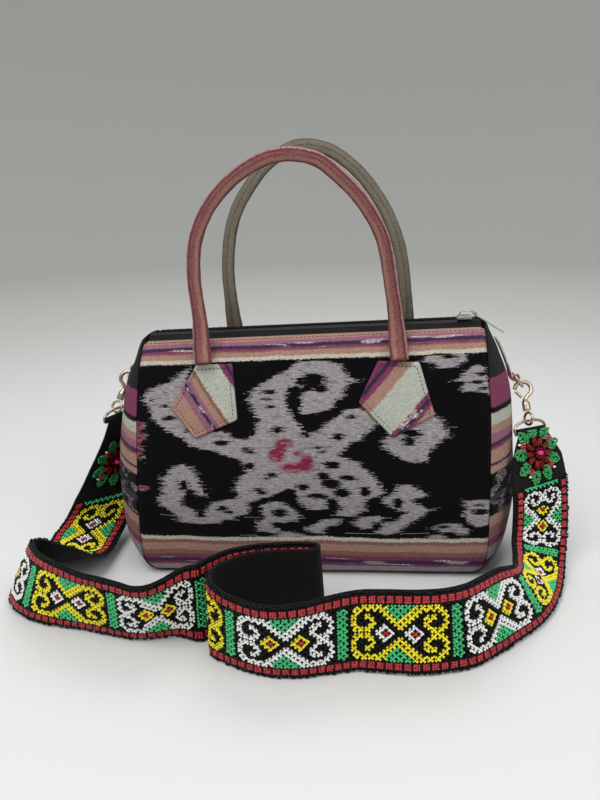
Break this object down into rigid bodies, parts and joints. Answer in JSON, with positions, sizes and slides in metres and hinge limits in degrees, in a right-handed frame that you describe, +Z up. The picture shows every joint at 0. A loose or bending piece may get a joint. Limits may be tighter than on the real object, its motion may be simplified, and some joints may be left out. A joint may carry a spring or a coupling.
{
  "type": "woven cloth handbag",
  "caption": "Hollow zip-top handbag of woven cloth with arched tube handles, folded patches, and a beaded shoulder strap clipped at both ends and laid out in front",
  "frame": {"origin": "centre of the bag's flat base, on the surface it stands on", "axes": "+Z up, +X along the bag to its right end, -Y out of the front"},
  "size_m": [0.4108, 0.262, 0.3161],
  "materials": {
    "ikat_cloth": "woven cotton",
    "striped_cloth": "woven cotton",
    "patch_cloth": "woven cotton",
    "black_tape": "ribbed tape",
    "zip_teeth": "nylon coil",
    "nickel": "bright",
    "champagne_nickel": "satin",
    "rose_cloth": "woven cotton",
    "olive_cloth": "woven cotton",
    "webbing": "ribbed webbing",
    "glass_beads": "glossy seed beads"
  },
  "bodies": {
    "bag": {"main_panel": "ikat_cloth", "end_gusset_left": "striped_cloth", "end_gusset_right": "striped_cloth", "zip_tape_front": "black_tape", "zip_tape_back": "black_tape", "zip_chain": "zip_teeth", "zip_slider": "nickel", "slider_bridge": "nickel", "handle_front": "rose_cloth", "handle_back": "olive_cloth", "patch_front_left": "patch_cloth", "patch_front_right": "patch_cloth", "patch_back_left": "patch_cloth", "patch_back_right": "patch_cloth", "strap_webbing": "webbing", "bead_band": "glass_beads", "flower_left": "glass_beads", "flower_right": "glass_beads", "tab_right": "black_tape", "d_ring_right": "champagne_nickel", "hook_right": "champagne_nickel", "swivel_eye_right": "champagne_nickel", "strap_ring_right": "champagne_nickel", "tab_left": "black_tape", "d_ring_left": "champagne_nickel", "hook_left": "champagne_nickel", "swivel_eye_left": "champagne_nickel", "strap_ring_left": "champagne_nickel"},
    "pull": {"zip_pull": "nickel"},
    "lever_left": {"hook_gate_left": "champagne_nickel"},
    "lever_right": {"hook_gate_right": "champagne_nickel"}
  },
  "joints": [
    {"name": "zip_pull_hinge", "type": "hinge", "parent": "bag", "child": "pull", "pos_m": [0.1204, 0, 0.18767], "axis": [0, -1, 0], "range_deg": [0, 115]},
    {"name": "hook_lever_left", "type": "hinge", "parent": "bag", "child": "lever_left", "pos_m": [-0.15349, 0.0196, 0.12674], "axis": [0.168, -0.9395, 0.2984], "range_deg": [0, 18], "stiffness_Nm_per_rad": 0.02},
    {"name": "hook_lever_right", "type": "hinge", "parent": "bag", "child": "lever_right", "pos_m": [0.15677, -0.01265, 0.12621], "axis": [0.1495, 0.8568, -0.4936], "range_deg": [0, 18], "stiffness_Nm_per_rad": 0.02}
  ]
}
